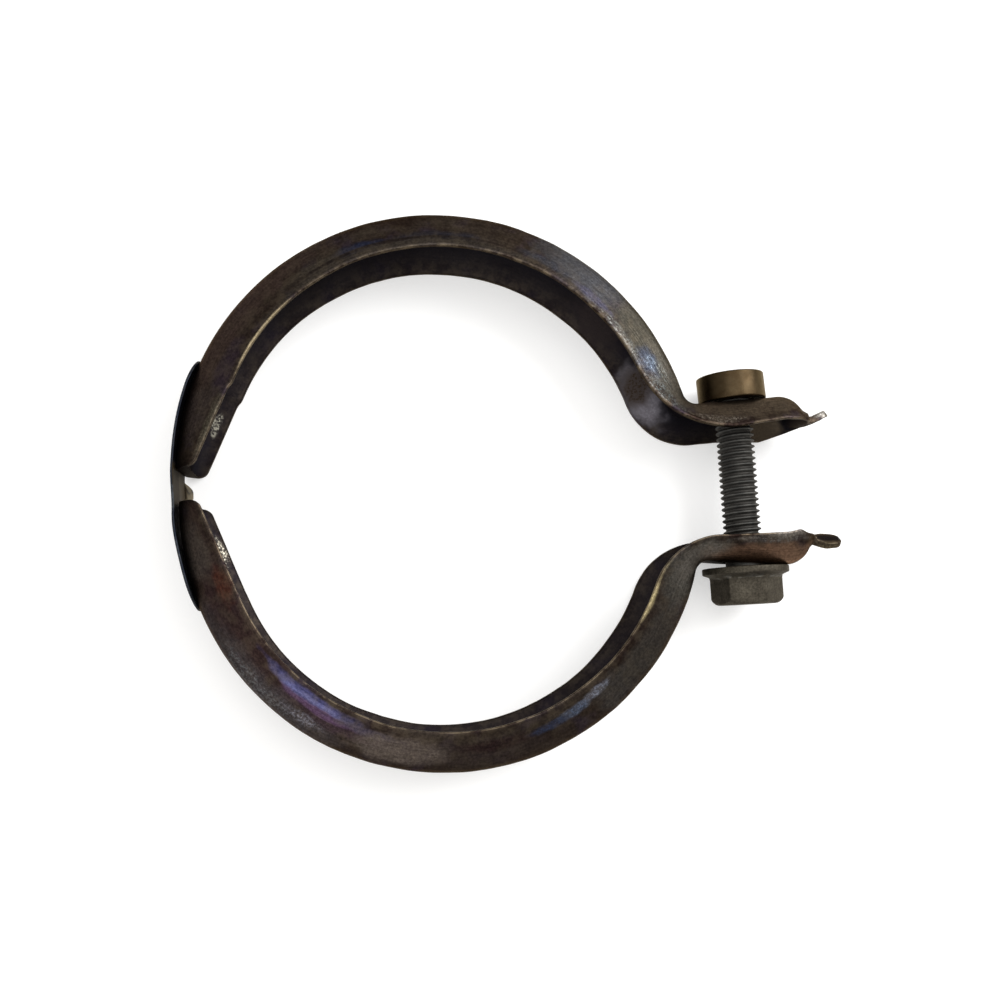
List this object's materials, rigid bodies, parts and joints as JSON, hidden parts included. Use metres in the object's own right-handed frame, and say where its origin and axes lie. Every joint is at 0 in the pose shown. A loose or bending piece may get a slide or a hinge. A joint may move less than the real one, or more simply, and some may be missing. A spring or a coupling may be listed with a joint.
{
  "type": "pipe clamp",
  "caption": "Two-piece profile clamp for a flanged pipe joint: channel-section jaws on a spring-leaf hinge, closed by a flange bolt and a round nut.",
  "frame": {"origin": "under the middle of the bounding box, on the plane that the clamp lies on", "axes": "+X from the hinge to the lugs, +Y across the parting line towards the nut, +Z along the pipe"},
  "size_m": [0.1372, 0.1128, 0.0184],
  "materials": {
    "jaw_steel": "heat-tinted brown-grey stainless steel, worn bright along its edges",
    "leaf_steel": "blued spring steel",
    "bolt_steel": "dull grey zinc, oxidised brown on the head",
    "nut_steel": "golden-brown heat-tinted steel, turned smooth"
  },
  "bodies": {
    "lower_jaw": {"lower_jaw": "jaw_steel", "hinge_leaf": "leaf_steel"},
    "upper_jaw": {"upper_jaw": "jaw_steel"},
    "bolt": {"flange_bolt": "bolt_steel"},
    "nut": {"round_nut": "nut_steel"}
  },
  "joints": [
    {"name": "bolt_spin", "type": "hinge", "parent": "lower_jaw", "child": "bolt", "pos_m": [0.04712, 0.00002, 0.0092], "axis": [-0.0157, 0.9999, 0], "range_deg": [-540, 5130]},
    {"name": "jaw_hinge", "type": "hinge", "parent": "lower_jaw", "child": "upper_jaw", "pos_m": [-0.06773, 0.00002, 0.0092], "axis": [0, 0, 1], "range_deg": [-9.25, 1], "deforming": ["hinge_leaf"]},
    {"name": "nut_travel", "type": "slide", "parent": "lower_jaw", "child": "nut", "axis": [-0.0157, 0.9999, 0], "range_m": [-0.0179, 0.0019]}
  ],
  "couplings": [
    {"joint": "jaw_hinge", "follows": "bolt_spin", "ratio": -0.0017934},
    {"joint": "nut_travel", "follows": "bolt_spin", "m_per_rad": -0.00019894}
  ]
}
